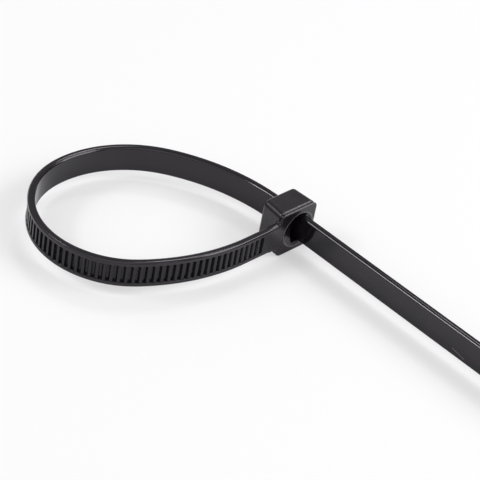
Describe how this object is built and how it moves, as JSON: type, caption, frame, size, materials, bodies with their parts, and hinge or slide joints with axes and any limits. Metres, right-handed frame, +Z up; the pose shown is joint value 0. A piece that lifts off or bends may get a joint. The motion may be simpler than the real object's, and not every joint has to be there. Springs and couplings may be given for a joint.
{
  "type": "cable tie",
  "caption": "Black nylon cable tie pulled into a teardrop loop: toothed strap with plain rails, ratchet head with a dished slot face and an inner pawl, free straight tail.",
  "frame": {"origin": "on the bench, under the middle of the slot: the middle of the head's lower side face across the slot's axis", "axes": "+X along the slot, the way the tail comes out; +Y away from where the strap leaves the head; +Z up, across the strap's width"},
  "size_m": [0.1679, 0.0643, 0.0132],
  "materials": {
    "black_nylon": "satin-gloss moulded nylon"
  },
  "bodies": {
    "root": {"cable_tie": "black_nylon"}
  },
  "joints": []
}
